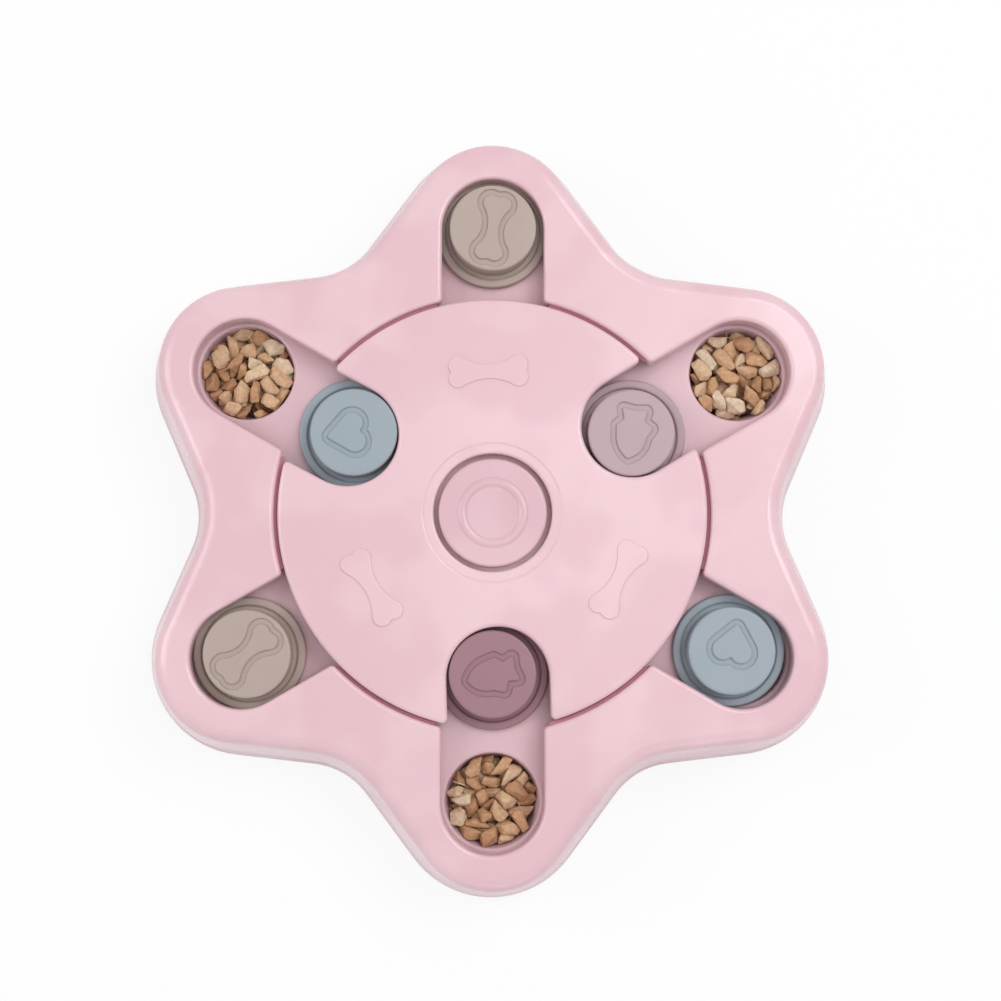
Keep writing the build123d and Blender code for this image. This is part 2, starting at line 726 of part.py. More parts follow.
with BuildPart() as squeaker_bellows:
    low = cup_floor_top
    high = button_ceiling
    fold = (high - low) / (2 * bellows_folds)
    outside = [(bellows_waist, low)]
    for k in range(bellows_folds):
        outside.append((bellows_radius, low + (2 * k + 1) * fold))
        outside.append((bellows_waist, low + (2 * k + 2) * fold))
    inside = [(r - bellows_wall, z) for r, z in outside[:-1]]
    inside.append((bellows_waist - bellows_wall, high - bellows_wall))
    with BuildSketch(Plane.XZ):
        with BuildLine():
            Polyline((0, high - bellows_wall), *reversed(inside), *outside, (0, high), close=True)
        make_face()
    revolve(axis=Axis.Z)
finish(squeaker_bellows.part, "squeaker_bellows")


# ---------------------------------------------------------------- pucks
# Six hollow mouldings: a round knob on a wider flange, with a raised picture inside a groove.
def puck(icon, icon_angle, slot_angle, radius):
    """One puck with its icon turned to icon_angle, at this place on its slot's line."""
    foot_plane = Plane((*polar(radius, slot_angle), flange_bottom))
    knob_height = knob_top - flange_bottom
    with BuildPart() as body:
        with BuildSketch(foot_plane):
            Circle(flange_radius)
        extrude(amount=flange_thick)
        with BuildSketch(foot_plane.offset(flange_thick - moat_depth)):
            Circle(knob_radius + moat_width)
        extrude(amount=moat_depth, mode=Mode.SUBTRACT)
        fillet(body.edges().group_by(Axis.Z)[-1], flange_round)
        with BuildSketch(foot_plane):
            Circle(knob_radius)
        extrude(amount=knob_height)
        fillet(body.edges().group_by(Axis.Z)[-1], knob_round)
        with BuildSketch(foot_plane):
            Circle(knob_radius - puck_wall)
        extrude(amount=knob_height - puck_wall, mode=Mode.SUBTRACT)
        with BuildSketch(foot_plane.offset(knob_height - groove_depth)):
            add(icon, rotation=icon_angle)
            offset(amount=groove_width, kind=Kind.ARC)
        extrude(amount=groove_depth, mode=Mode.SUBTRACT)
        knob_face = body.faces().sort_by(Axis.Z)[-1]
        fillet(knob_face.inner_wires()[0].edges(), icon_round)
        with BuildSketch(foot_plane.offset(knob_height - groove_depth)):
            add(icon, rotation=icon_angle)
        extrude(amount=groove_depth + icon_raise)
        fillet(body.edges().group_by(Axis.Z)[-1], icon_round)
    return body.part


small_bone = bone_face(small_bone_length, small_bone_width, small_bone_shaft, small_notch_round)
small_heart = heart_face(heart_width, heart_height)
small_fish = fish_face(fish_length, fish_height)
puck_list = [  # name, picture, its turn, direction of the slot, distance from the axis
    ("puck_fish_right", small_fish, 80, lobe_angles[0], carried_rest),
    ("puck_bone_top", small_bone, 80, lobe_angles[1], slot_end_radius),
    ("puck_heart_left", small_heart, 100, lobe_angles[2], carried_rest),
    ("puck_bone_left", small_bone, 43, lobe_angles[3], slot_end_radius - left_puck_inset),
    ("puck_fish_bottom", small_fish, 14.5, lobe_angles[4], carried_rest),
    ("puck_heart_right", small_heart, -12, lobe_angles[5], pushed_rest),
]
for name, icon, icon_angle, slot_angle, radius in puck_list:
    finish(puck(icon, icon_angle, slot_angle, radius), name)

# ---------------------------------------------------------------- feet
# Six soft pads, each pressed into the ring under a well.
for number, angle in enumerate(lobe_angles, start=1):
    with BuildPart() as foot:
        with BuildSketch(Plane((*polar(slot_end_radius, angle), 0))):
            Circle(foot_radius)
        extrude(amount=foot_height)
        fillet(foot.edges().group_by(Axis.Z)[0], foot_round)
    finish(foot.part, f"foot_{number}")

# ---------------------------------------------------------------- screws
case_seat_height = deck_top - case_seat
case_screw = screw_solid(
    case_seat_height,
    case_screw_radius,
    case_screw_head,
    case_screw_head_height,
    case_seat + case_screw_grip,
)
with BuildPart() as case_screws:
    with PolarLocations(case_bolt_circle, lobe_count, start_angle=valley_angles[0]):
        add(case_screw)
finish(case_screws.part, "case_screws")

retainer_screw = screw_solid(
    retainer_bottom,
    retainer_screw_radius,
    retainer_screw_head,
    retainer_screw_head_height,
    retainer_plate + retainer_screw_grip,
)
with BuildPart() as retainer_screws:
    with PolarLocations(retainer_bolt_circle, retainer_screw_count, start_angle=first_lobe):
        add(retainer_screw)
finish(retainer_screws.part, "retainer_screws")

print(f"turntable rests turned by {rest_turn:.3f} degrees")
print(f"carried pucks rest at {carried_rest:.3f} mm and reach {slot_end_radius} mm")
print(f"the pushed puck rests at {pushed_rest:.3f} mm, inner stop {fixed_inner_stop:.3f} mm")
print(f"the left bone puck rests at {slot_end_radius - left_puck_inset:.3f} mm")
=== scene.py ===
import bmesh
import bpy
import math
import random
from mathutils import Euler, Matrix, Vector, noise


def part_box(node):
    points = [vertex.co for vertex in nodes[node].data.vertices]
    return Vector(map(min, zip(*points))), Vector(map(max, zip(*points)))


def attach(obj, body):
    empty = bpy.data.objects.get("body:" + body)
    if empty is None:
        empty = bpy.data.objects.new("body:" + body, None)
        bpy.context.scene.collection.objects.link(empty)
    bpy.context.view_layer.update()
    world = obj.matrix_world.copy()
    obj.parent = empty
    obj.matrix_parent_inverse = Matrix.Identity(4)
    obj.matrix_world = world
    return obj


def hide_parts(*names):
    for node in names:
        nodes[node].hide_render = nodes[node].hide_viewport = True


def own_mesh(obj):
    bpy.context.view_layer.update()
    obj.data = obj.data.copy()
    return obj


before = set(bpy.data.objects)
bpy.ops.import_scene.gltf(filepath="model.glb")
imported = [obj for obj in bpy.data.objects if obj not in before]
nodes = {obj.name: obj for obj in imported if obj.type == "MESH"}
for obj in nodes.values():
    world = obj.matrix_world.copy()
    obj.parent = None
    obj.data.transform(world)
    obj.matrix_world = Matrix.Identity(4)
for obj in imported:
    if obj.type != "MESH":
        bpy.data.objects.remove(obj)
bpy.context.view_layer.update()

# ------------------------------------------------------------ camera
# Looks down on the feeder from a little over 60 cm, leaning back by some four degrees, so that
# the near sides of the lobes show as narrow bands.
camera_place = (-0.0083, -0.0356, 0.6109)
camera_turn = (3.93, -1.08, 0.02)  # degrees
sensor_width = 36.0  # mm
lens_length = 62.7  # mm
nearest_seen = 0.01

camera = bpy.data.objects.new("camera", bpy.data.cameras.new("camera"))
camera.location = camera_place
camera.rotation_euler = [math.radians(angle) for angle in camera_turn]
camera.data.sensor_width = sensor_width
camera.data.lens = lens_length
camera.data.clip_start = nearest_seen
bpy.context.scene.collection.objects.link(camera)
bpy.context.scene.camera = camera
bpy.context.scene.view_settings.view_transform = "Standard"


# ------------------------------------------------------------ base tray
# The lower half of the case: a deck on which the pucks slide, with six wells for food hanging
# from it. Injection-moulded in ABS and less polished than the cover. Its colour, a shade deeper
# than the cover's, is painted shade for the dimmer deck down in the slots.
def colour(code):
    """An sRGB hex code as a linear RGBA colour."""
    channels = [int(code[start : start + 2], 16) / 255 for start in (1, 3, 5)]
    return (*[c / 12.92 if c <= 0.04045 else ((c + 0.055) / 1.055) ** 2.4 for c in channels], 1.0)


def add_node(tree, kind, inputs=None, **properties):
    """Add a shader node with these properties, and set or link its inputs by name or number."""
    node = tree.nodes.new("ShaderNode" + kind)
    for name, value in properties.items():
        setattr(node, name, value)
    for socket, value in (inputs or {}).items():
        if isinstance(value, bpy.types.NodeSocket):
            tree.links.new(value, node.inputs[socket])
        else:
            node.inputs[socket].default_value = value
    return node


def new_material(name):
    """An empty node material, with its tree and its Principled shader."""
    material = bpy.data.materials.new(name)
    material.use_nodes = True
    return material, material.node_tree, material.node_tree.nodes["Principled BSDF"]


def per_metre(size_mm):
    """Noise scale that gives one feature in this many millimetres."""
    return 1000 / size_mm


def tinted(tree, shader, share, base, deep):
    """Colour a material between two shades, by this share of the deep one."""
    tint = add_node(tree, "Mix", {0: share, 6: colour(base), 7: colour(deep)}, data_type="RGBA")
    tree.links.new(tint.outputs[2], shader.inputs["Base Color"])


def moulded_abs(
    name, base, deep, patch_mm, roughness, peel_mm=1.6, peel_um=1.5, wave_mm=26, wave_um=45
):
    """ABS: an even colour with pale patches of painted sheen where it is more polished, an
    orange-peel skin and slow sink waves.
    """
    patch_edge = (0.42, 0.58)  # noise values between which one shade goes over into the other
    polish_spread = (0.85, 1.2)  # shares of the mean roughness
    abs_glow_depth = 0.003
    material, tree, shader = new_material(name)
    place = add_node(tree, "TexCoord").outputs["Object"]
    patch_noise = add_node(
        tree,
        "TexNoise",
        {"Vector": place, "Scale": per_metre(patch_mm), "Detail": 2.0, "Roughness": 0.45},
    )
    sheen_and_polish_patches = add_node(
        tree,
        "MapRange",
        {"Value": patch_noise.outputs["Fac"], "From Min": patch_edge[0], "From Max": patch_edge[1]},
        interpolation_type="SMOOTHSTEP",
    )
    # The pale patches are painted sheen that stands in for soft lamp smears; the same patches set
    # the roughness lower there.
    tinted(tree, shader, sheen_and_polish_patches.outputs["Result"], base, deep)
    waves = add_node(
        tree,
        "TexNoise",
        {"Vector": place, "Scale": per_metre(wave_mm), "Detail": 1.0, "Roughness": 0.4},
    )
    slow = add_node(tree, "Bump", {"Height": waves.outputs["Fac"], "Distance": wave_um * 1e-6})
    peel = add_node(
        tree,
        "TexNoise",
        {"Vector": place, "Scale": per_metre(peel_mm), "Detail": 1.0, "Roughness": 0.5},
    )
    fine = add_node(
        tree,
        "Bump",
        {
            "Height": peel.outputs["Fac"],
            "Normal": slow.outputs["Normal"],
            "Distance": peel_um * 1e-6,
        },
    )
    tree.links.new(fine.outputs["Normal"], shader.inputs["Normal"])
    smears = add_node(
        tree,
        "MapRange",
        {
            "Value": sheen_and_polish_patches.outputs["Result"],
            "To Min": roughness * polish_spread[0],
            "To Max": roughness * polish_spread[1],
        },
    )
    tree.links.new(smears.outputs["Result"], shader.inputs["Roughness"])
    shader.inputs["IOR"].default_value = 1.54
    shader.inputs["Subsurface Weight"].default_value = 0.3
    shader.inputs["Subsurface Radius"].default_value = (1.0, 0.5, 0.5)
    shader.inputs["Subsurface Scale"].default_value = abs_glow_depth
    return material


def dress(node, material):
    """Give every face of a CAD node this material."""
    materials = nodes[node].data.materials
    materials.clear()
    materials.append(material)


# Painted shade: the tray is coloured deeper than the cover to stand in for the shade on the deck
# in the slots.
tray_abs_painted_shade = moulded_abs(
    "pink_tray_abs", base="#dcbbc3", deep="#d8b6be", patch_mm=45, roughness=0.34
)
dress("base_tray", tray_abs_painted_shade)


# ------------------------------------------------------------ feet
# Six soft pads pressed into the rings under the wells, so that the feeder stays put while a dog
# works at it. Cast in thermoplastic rubber, matt, with two grip grooves turned into the sole.
def turned(name, profile, centre, steps=96):
    """A mesh turned about a vertical axis from (radius, height) points in metres, bottom first."""
    mesh = bpy.data.meshes.new(name)
    build = bmesh.new()
    rings = []
    for radius, height in profile:
        if radius == 0:
            rings.append([build.verts.new((centre[0], centre[1], centre[2] + height))])
            continue
        ring = []
        for step in range(steps):
            angle = 2 * math.pi * step / steps
            x = centre[0] + radius * math.cos(angle)
            y = centre[1] + radius * math.sin(angle)
            ring.append(build.verts.new((x, y, centre[2] + height)))
        rings.append(ring)
    for low, high in zip(rings, rings[1:]):
        for step in range(steps):
            after = (step + 1) % steps
            if len(low) == 1:
                build.faces.new((low[0], high[after], high[step]))
            elif len(high) == 1:
                build.faces.new((low[step], low[after], high[0]))
            else:
                build.faces.new((low[step], low[after], high[after], high[step]))
    bmesh.ops.recalc_face_normals(build, faces=build.faces)
    build.to_mesh(mesh)
    build.free()
    piece = bpy.data.objects.new(name, mesh)
    bpy.context.scene.collection.objects.link(piece)
    return piece


def shade(piece, crease=35):
    """Smooth shading with edges sharper than crease degrees kept."""
    piece.data.shade_smooth()
    piece.data.set_sharp_from_angle(angle=math.radians(crease))


def grained(tree, shader, place, grain_mm, grain_um):
    """Give a material the even grain of a blasted or spark-eroded mould.

    Such a grain is about a tenth of a millimetre wide, too fine to show, and is drawn coarser.
    """
    grain = add_node(
        tree, "TexNoise", {"Vector": place, "Scale": per_metre(grain_mm), "Detail": 2.0}
    )
    bump = add_node(tree, "Bump", {"Height": grain.outputs["Fac"], "Distance": grain_um * 1e-6})
    tree.links.new(bump.outputs["Normal"], shader.inputs["Normal"])


def cast_rubber(name, base, worn, grain_mm, grain_um):
    """Matt rubber: a fine blasted grain, and a slightly darker bloom in blots."""
    bloom_mm = 5
    material, tree, shader = new_material(name)
    place = add_node(tree, "TexCoord").outputs["Object"]
    bloom = add_node(
        tree, "TexNoise", {"Vector": place, "Scale": per_metre(bloom_mm), "Detail": 4.0}
    )
    tinted(tree, shader, bloom.outputs["Fac"], base, worn)
    grained(tree, shader, place, grain_mm, grain_um)
    shader.inputs["Roughness"].default_value = 0.72
    shader.inputs["IOR"].default_value = 1.5
    return material


foot_rubber = cast_rubber(
    "grey_foot_rubber", base="#b7aeac", worn="#a79f9d", grain_mm=0.35, grain_um=30
)
foot_count = 6
groove_rings = (0.34, 0.66)  # shares of the foot's radius
groove_depth = 0.0005
groove_half = 0.0005  # half the width of its floor
rim = 0.0009  # rounding of the sole's edge
arc_middle = 0.3  # a rounding's middle lies this share of its radius in from the corner
for number in range(1, foot_count + 1):
    low, high = (Vector(corner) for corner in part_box(f"foot_{number}"))
    middle = (low + high) / 2
    radius = (high.x - low.x) / 2
    height = high.z - low.z
    profile = [(0.0, 0.0)]
    for share in groove_rings:
        ring = radius * share
        profile += [
            (ring - 2 * groove_half, 0.0),
            (ring - groove_half, groove_depth),
            (ring + groove_half, groove_depth),
            (ring + 2 * groove_half, 0.0),
        ]
    profile += [(radius - rim, 0.0), (radius - rim * arc_middle, rim * arc_middle), (radius, rim)]
    profile += [(radius, height), (0.0, height)]
    foot = turned(f"foot_pad_{number}", profile, (middle.x, middle.y, low.z))
    foot.data.materials.append(foot_rubber)
    shade(foot)
    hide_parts(f"foot_{number}")
    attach(foot, "case")


# ------------------------------------------------------------ turntable
# The round disc with three slots and three raised bones, moulded in gloss ABS from a mirror-
# polished tool. Under it the flanged cup that keeps it down is the same plastic.
# The pale patches between base and deep are painted sheen.
pink_abs = moulded_abs(
    "pink_gloss_abs", base="#e7c5cc", deep="#e2bdc5", patch_mm=34, roughness=0.22
)
dress("turntable", pink_abs)
dress("hub_retainer", pink_abs)


# ------------------------------------------------------------ squeaker
# A blown bellows of soft milky PVC that lifts the button, over a hard white reed plug.
# On the real feeder its folds close as the button goes down; here they are drawn open.
bellows_folds = 3
bellows_depth = 0.0024
bellows_points = 12  # along each fold
bellows_crease = 50  # degrees

low, high = (Vector(corner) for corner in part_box("squeaker_bellows"))
crest = (high.x - low.x) / 2
length = high.z - low.z
profile = [(0.0, 0.0)]
for step in range(bellows_folds * bellows_points + 1):
    share = step / (bellows_folds * bellows_points)
    fold = 0.5 - 0.5 * math.cos(2 * math.pi * bellows_folds * share)
    profile.append((crest - bellows_depth * (1 - fold), length * share))
profile.append((0.0, length))
bellows = turned("squeaker_bellows_blown", profile, (0.0, 0.0, low.z))
bellows.data.materials.append(
    cast_rubber("soft_bellows_pvc", base="#d9d3c8", worn="#cfc8bc", grain_mm=0.5, grain_um=8)
)
shade(bellows, bellows_crease)
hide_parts("squeaker_bellows")
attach(bellows, "turntable")
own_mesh(bellows)

dress(
    "squeaker_reed",
    moulded_abs(
        "white_reed_abs",
        base="#ebe8e1",
        deep="#e2dfd7",
        patch_mm=4,
        roughness=0.35,
        peel_mm=0.6,
        peel_um=1,
        wave_mm=4,
        wave_um=3,
    ),
)


# ------------------------------------------------------------ squeak button
# A round cap with a soft raised ring on its face, free in its bore. The same gloss ABS with
# the same painted sheen, coloured a shade deeper than the turntable.
button_abs = moulded_abs(
    "pink_button_abs", base="#ddb8c0", deep="#d8b2bb", patch_mm=45, roughness=0.22
)
dress("squeak_button", button_abs)


# ------------------------------------------------------------ top cover
# The six-lobed upper shell with its round opening and six slots, in the same gloss ABS as the
# turntable, polished so that lamps leave wide faint smears on it; paler smears are also painted
# into its colour as painted sheen.
dress("top_cover", pink_abs)


# ------------------------------------------------------------ gap strip
# A thin rose strip on the wall of the cover's round opening between the slots, a little below
# the surface. It nearly touches the turntable and hides the deep ring gap: its rose colour is
# painted shade, standing in for the dim rose look of the shaded gap.
opening_radius = 0.0727
turntable_radius = 0.0714
crown_radius = 2.6
crown_top = 0.0356
slot_half_width = 0.01705
lip_depth = 0.0026  # below the crowned surface
lip_thickness = 0.0011
lip_clearance = 0.00025  # to the turntable's rim
lip_root = 0.0002  # moulded into the wall
lip_round = 0.0003
slot_clearance = 0.0019  # beside a slot
lip_steps = 40  # along one stretch


def lip_arc(build, start, end):
    """One stretch of the lip between two slots: a rounded bar bent about the vertical axis."""
    crown_fall = crown_radius - math.sqrt(crown_radius**2 - opening_radius**2)
    top = crown_top - crown_fall - lip_depth
    inner = turntable_radius + lip_clearance
    outer = opening_radius + lip_root
    section = [
        (outer, top - lip_thickness),
        (inner + lip_round, top - lip_thickness),
        (inner, top - lip_thickness + lip_round),
        (inner, top - lip_round),
        (inner + arc_middle * lip_round, top - arc_middle * lip_round),
        (inner + lip_round, top),
        (outer, top),
    ]
    rings = []
    for step in range(lip_steps + 1):
        angle = math.radians(start + (end - start) * step / lip_steps)
        east, north = math.cos(angle), math.sin(angle)
        rings.append([build.verts.new((r * east, r * north, z)) for r, z in section])
    for here, after in zip(rings, rings[1:]):
        for corner in range(len(section)):
            following = (corner + 1) % len(section)
            build.faces.new((here[corner], here[following], after[following], after[corner]))
    build.faces.new(rings[0][::-1])
    build.faces.new(rings[-1])


build = bmesh.new()
first_lobe = 30
lobe_step = 60
slot_reach = math.degrees(math.asin((slot_half_width + slot_clearance) / opening_radius))
for lobe in range(first_lobe, first_lobe + 360, lobe_step):
    lip_arc(build, lobe + slot_reach, lobe + lobe_step - slot_reach)
bmesh.ops.recalc_face_normals(build, faces=build.faces)
mesh = bpy.data.meshes.new("gap_shade_strip")
build.to_mesh(mesh)
build.free()
gap_shade_strip = bpy.data.objects.new("gap_shade_strip", mesh)
# The strip's rose colour is painted shade for the ring gap.
gap_shade_strip.data.materials.append(
    cast_rubber("rose_gap_shade_strip", base="#bf828e", worn="#b87b88", grain_mm=0.5, grain_um=8)
)
bpy.context.scene.collection.objects.link(gap_shade_strip)
shade(gap_shade_strip)
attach(gap_shade_strip, "case")


# ------------------------------------------------------------ pucks
# Six sliding pucks in three muted colours, moulded in satin polypropylene with a fine spark
# texture. Each has its picture raised inside a groove. The two mauve pucks are one plastic, drawn
# in a paler copy as painted light and a deeper copy as painted shade.
def satin_polypropylene(name, base, deep, patch_mm=9, grain_mm=0.3, grain_um=3):
    """Satin plastic: a fine spark-eroded grain and a barely uneven colour."""
    material, tree, shader = new_material(name)
    place = add_node(tree, "TexCoord").outputs["Object"]
    patch_noise = add_node(
        tree, "TexNoise", {"Vector": place, "Scale": per_metre(patch_mm), "Detail": 3.0}
    )
    tinted(tree, shader, patch_noise.outputs["Fac"], base, deep)
    grained(tree, shader, place, grain_mm, grain_um)
    shader.inputs["Roughness"].default_value = 0.42
    shader.inputs["IOR"].default_value = 1.49
    return material


taupe = satin_polypropylene("taupe_polypropylene", base="#b3a29a", deep="#ac9b92")
blue_grey = satin_polypropylene("blue_grey_polypropylene", base="#9ba6ae", deep="#94a0a8")
# One mauve plastic in two copies: the paler one is painted light, the deeper one painted shade.
mauve_painted_light = satin_polypropylene("pale_mauve_polypropylene", base="#b9a2a8", deep="#b29aa1")
mauve_painted_shade = satin_polypropylene("deep_mauve_polypropylene", base="#9d767f", deep="#956e78")
puck_plastics = {
    "puck_bone_top": taupe,
    "puck_bone_left": taupe,
    "puck_heart_left": blue_grey,
    "puck_heart_right": blue_grey,
    "puck_fish_right": mauve_painted_light,
    "puck_fish_bottom": mauve_painted_shade,
}
for puck, plastic in puck_plastics.items():
    dress(puck, plastic)


# ------------------------------------------------------------ screws
# Six case screws and three retainer screws, driven from below. Pan heads in zinc-plated steel,
# a bright grey metal with a faint milky blur.
def zinc_plate(name):
    """Zinc plating on steel: a metal with a fine uneven crystal."""
    crystal_mm = 0.8  # the real crystals are far too fine to show, so they are drawn coarser
    material, tree, shader = new_material(name)
    place = add_node(tree, "TexCoord").outputs["Object"]
    crystal = add_node(tree, "TexVoronoi", {"Vector": place, "Scale": per_metre(crystal_mm)})
    rough = add_node(
        tree, "MapRange", {"Value": crystal.outputs["Distance"], "To Min": 0.28, "To Max": 0.42}
    )
    tree.links.new(rough.outputs["Result"], shader.inputs["Roughness"])
    shader.inputs["Base Color"].default_value = colour("#c3c6c8")
    shader.inputs["Metallic"].default_value = 1.0
    return material


zinc = zinc_plate("zinc_plated_steel")
dress("case_screws", zinc)
dress("retainer_screws", zinc)


# ------------------------------------------------------------ dry food
# Broken biscuit kibble in the three open wells: hard baked chunks up to a centimetre long with
# rough broken faces. They are poured in, settle under their own weight and are levelled.
food_angles = (30, 150, 270)
food_seed = 71
food_crease = 50  # degrees
well_distance = 0.0956
well_mouth = 0.0158
well_mouth_round = 0.0009
well_foot = 0.0132
well_floor = 0.0058
well_corner = ((0.004, 0.0), (0.001, 0.0012), (0.0, 0.004))  # in from the foot, up from the floor
deck_height = 0.024
chunks_per_well = 94
chunk_half_mm = ((3.3, 4.9), (2.2, 3.1), (1.7, 2.6))  # least and most of half a side
chunk_corners = 15
chunk_boxiness = 0.8  # 0 gives eggs, 1 gives boxes
corner_play = (0.86, 1.05)
chunk_edge_round = 0.00038
chunk_flatness = 14  # degrees
coarse_skin, coarse_per_metre = 0.00022, 650
fine_skin, fine_per_metre = 0.00011, 1900
skin_shift = 50  # so that no two chunks share their pits
food_top = deck_height + 0.00025  # just clear of the pucks that slide over the wells
lid_stop = food_top - 0.0003  # leaves room for a chunk's rough skin
pour_scale = 100.0  # one centimetre is simulated as one metre, which suits the solver
settle_frames = 90  # then a flat lid comes down and levels the heap
frames = 140
frames_at_rest = 10  # with the lid down
lid_height = 0.2
lid_thickness = 0.003
lid_play = 0.0002
chunks_per_layer = 4
pour_reach = 0.0085  # from the well's middle
pour_start = 0.002
pour_layer = 0.0065
layer_turn = 0.8  # radians from one layer to the next
cup_steps = 48


def biscuit_chunk(draw):
    """A rough angular chunk of baked biscuit as a bmesh, in metres, lying along X."""
    half = [draw.uniform(least, most) / 1000 for least, most in chunk_half_mm]
    build = bmesh.new()
    for corner in range(chunk_corners):
        spot = Vector([draw.gauss(0, 1) for axis in range(3)]).normalized()
        spot /= max(abs(c) for c in spot) ** chunk_boxiness
        build.verts.new([c * size * draw.uniform(*corner_play) for c, size in zip(spot, half)])
    hull = bmesh.ops.convex_hull(build, input=build.verts)
    inside = {item for item in hull["geom_unused"] + hull["geom_interior"] if item.is_valid}
    spare = [item for item in inside if isinstance(item, bmesh.types.BMVert)]
    bmesh.ops.delete(build, geom=spare, context="VERTS")
    bmesh.ops.dissolve_limit(
        build, angle_limit=math.radians(chunk_flatness), verts=build.verts, edges=build.edges
    )
    bmesh.ops.bevel(
        build,
        geom=build.edges[:],
        offset=chunk_edge_round,
        segments=2,
        profile=0.6,
        affect="EDGES",
    )
    return build


def roughened(build, draw):
    """Break up a chunk's faces with pits and crumbs."""
    bmesh.ops.triangulate(build, faces=build.faces)
    bmesh.ops.subdivide_edges(build, edges=build.edges, cuts=2, use_grid_fill=True)
    bmesh.ops.smooth_vert(
        build, verts=build.verts, factor=0.5, use_axis_x=True, use_axis_y=True, use_axis_z=True
    )
    build.normal_update()
    shift = Vector([draw.uniform(-skin_shift, skin_shift) for axis in range(3)])
    for vertex in build.verts:
        coarse = noise.noise(vertex.co * coarse_per_metre + shift)
        fine = noise.noise(vertex.co * fine_per_metre + shift)
        vertex.co += vertex.normal * (coarse_skin * coarse + fine_skin * fine)
    return build


def poured(chunks, draw):
    """Drop the chunks into a well as rigid bodies, and return each one's place at rest."""
    scene = bpy.context.scene
    bpy.ops.rigidbody.world_add()
    world = scene.rigidbody_world
    world.collection = bpy.data.collections.new("pour")
    world.substeps_per_frame = 10
    world.solver_iterations = 15
    pour_rim = well_mouth + well_mouth_round
    profile = [
        (0.0, well_floor),
        *[(well_foot - inward, well_floor + upward) for inward, upward in well_corner],
        (well_mouth, deck_height - well_mouth_round),
        (well_mouth + arc_middle * well_mouth_round, deck_height - arc_middle * well_mouth_round),
        (pour_rim, deck_height),
        (pour_rim, deck_height + lid_height),
    ]
    cup_profile = [(r * pour_scale, z * pour_scale) for r, z in profile]
    cup = turned("pour_cup", cup_profile, (0, 0, 0), cup_steps)
    lid_rim = pour_rim - lid_play
    disc = [(0.0, 0.0), (lid_rim, 0.0), (lid_rim, lid_thickness), (0.0, lid_thickness)]
    lid_profile = [(r * pour_scale, z * pour_scale) for r, z in disc]
    lid = turned("pour_lid", lid_profile, (0, 0, 0), cup_steps)
    lid_path = {
        1: lid_height,
        settle_frames: lid_height,
        frames - frames_at_rest: lid_stop,
        frames: lid_stop,
    }
    for step, height in lid_path.items():
        lid.location.z = height * pour_scale
        lid.keyframe_insert("location", frame=step)
    fixed, loose = [cup, lid], []
    for number, build in enumerate(chunks):
        mesh = bpy.data.meshes.new("pour_chunk")
        build.to_mesh(mesh)
        mesh.transform(Matrix.Scale(pour_scale, 4))
        body = bpy.data.objects.new(f"pour_chunk_{number}", mesh)
        layer, around = divmod(number, chunks_per_layer)
        angle = math.tau / chunks_per_layer * around + layer_turn * layer
        reach = pour_reach * pour_scale
        body.location = (
            reach * math.cos(angle),
            reach * math.sin(angle),
            (deck_height + pour_start + pour_layer * layer) * pour_scale,
        )
        body.rotation_euler = [draw.uniform(0, math.tau) for axis in range(3)]
        scene.collection.objects.link(body)
        loose.append(body)
    for body in fixed + loose:
        bpy.context.view_layer.objects.active = body
        bpy.ops.rigidbody.object_add(type="PASSIVE" if body in fixed else "ACTIVE")
        body.rigid_body.kinematic = body is lid
        body.rigid_body.collision_shape = "MESH" if body in fixed else "CONVEX_HULL"
        body.rigid_body.friction = 0.55
        body.rigid_body.restitution = 0.0
        body.rigid_body.use_margin = True
        body.rigid_body.collision_margin = 0.002
        body.rigid_body.linear_damping = 0.1
        body.rigid_body.angular_damping = 0.3
    world.point_cache.frame_end = frames
    for step in range(1, frames + 1):
        scene.frame_set(step)
    depsgraph = bpy.context.evaluated_depsgraph_get()
    places = [body.evaluated_get(depsgraph).matrix_world.copy() for body in loose]
    bpy.ops.rigidbody.world_remove()
    for body in fixed + loose:
        bpy.data.objects.remove(body)
    scene.frame_set(1)
    shrink = Matrix.Scale(1 / pour_scale, 4)
    return [
        Matrix.Translation(shrink @ place.to_translation())
        @ place.to_quaternion().to_matrix().to_4x4()
        for place in places
    ]


def baked_biscuit(name):
    """Baked crumb: tan to brown from chunk to chunk, with painted shade in its pits and painted
    light on its crumbs, dry and matt.
    """
    crumb_mm = 1.2
    crumb_relief = 0.0002
    material, tree, shader = new_material(name)
    place = add_node(tree, "TexCoord").outputs["Object"]
    island = add_node(tree, "NewGeometry").outputs["Random Per Island"]
    tone = add_node(tree, "ValToRGB", {"Fac": island})
    ramp = tone.color_ramp
    ramp.elements[0].color = colour("#b68a66")
    ramp.elements[1].color = colour("#e3cdb1")
    for place_on_ramp, code in ((0.3, "#cc9f77"), (0.65, "#ddbb98")):
        ramp.elements.new(place_on_ramp).color = colour(code)
    crumb = add_node(
        tree,
        "TexNoise",
        {"Vector": place, "Scale": per_metre(crumb_mm), "Detail": 5.0, "Roughness": 0.65},
    )
    # Painted shade and light: the noise that raises the skin also darkens its low parts and
    # lightens its high ones.
    painted_pit_shade_and_light = add_node(
        tree,
        "MapRange",
        {
            "Value": crumb.outputs["Fac"],
            "From Min": 0.3,
            "From Max": 0.7,
            "To Min": 0.72,
            "To Max": 1.12,
        },
    )
    toned = add_node(
        tree,
        "Mix",
        {0: 1.0, 6: tone.outputs["Color"], 7: painted_pit_shade_and_light.outputs["Result"]},
        data_type="RGBA",
        blend_type="MULTIPLY",
    )
    tree.links.new(toned.outputs[2], shader.inputs["Base Color"])
    bump = add_node(
        tree, "Bump", {"Height": crumb.outputs["Fac"], "Distance": crumb_relief, "Strength": 0.8}
    )
    tree.links.new(bump.outputs["Normal"], shader.inputs["Normal"])
    shader.inputs["Roughness"].default_value = 0.78
    shader.inputs["IOR"].default_value = 1.45
    return material


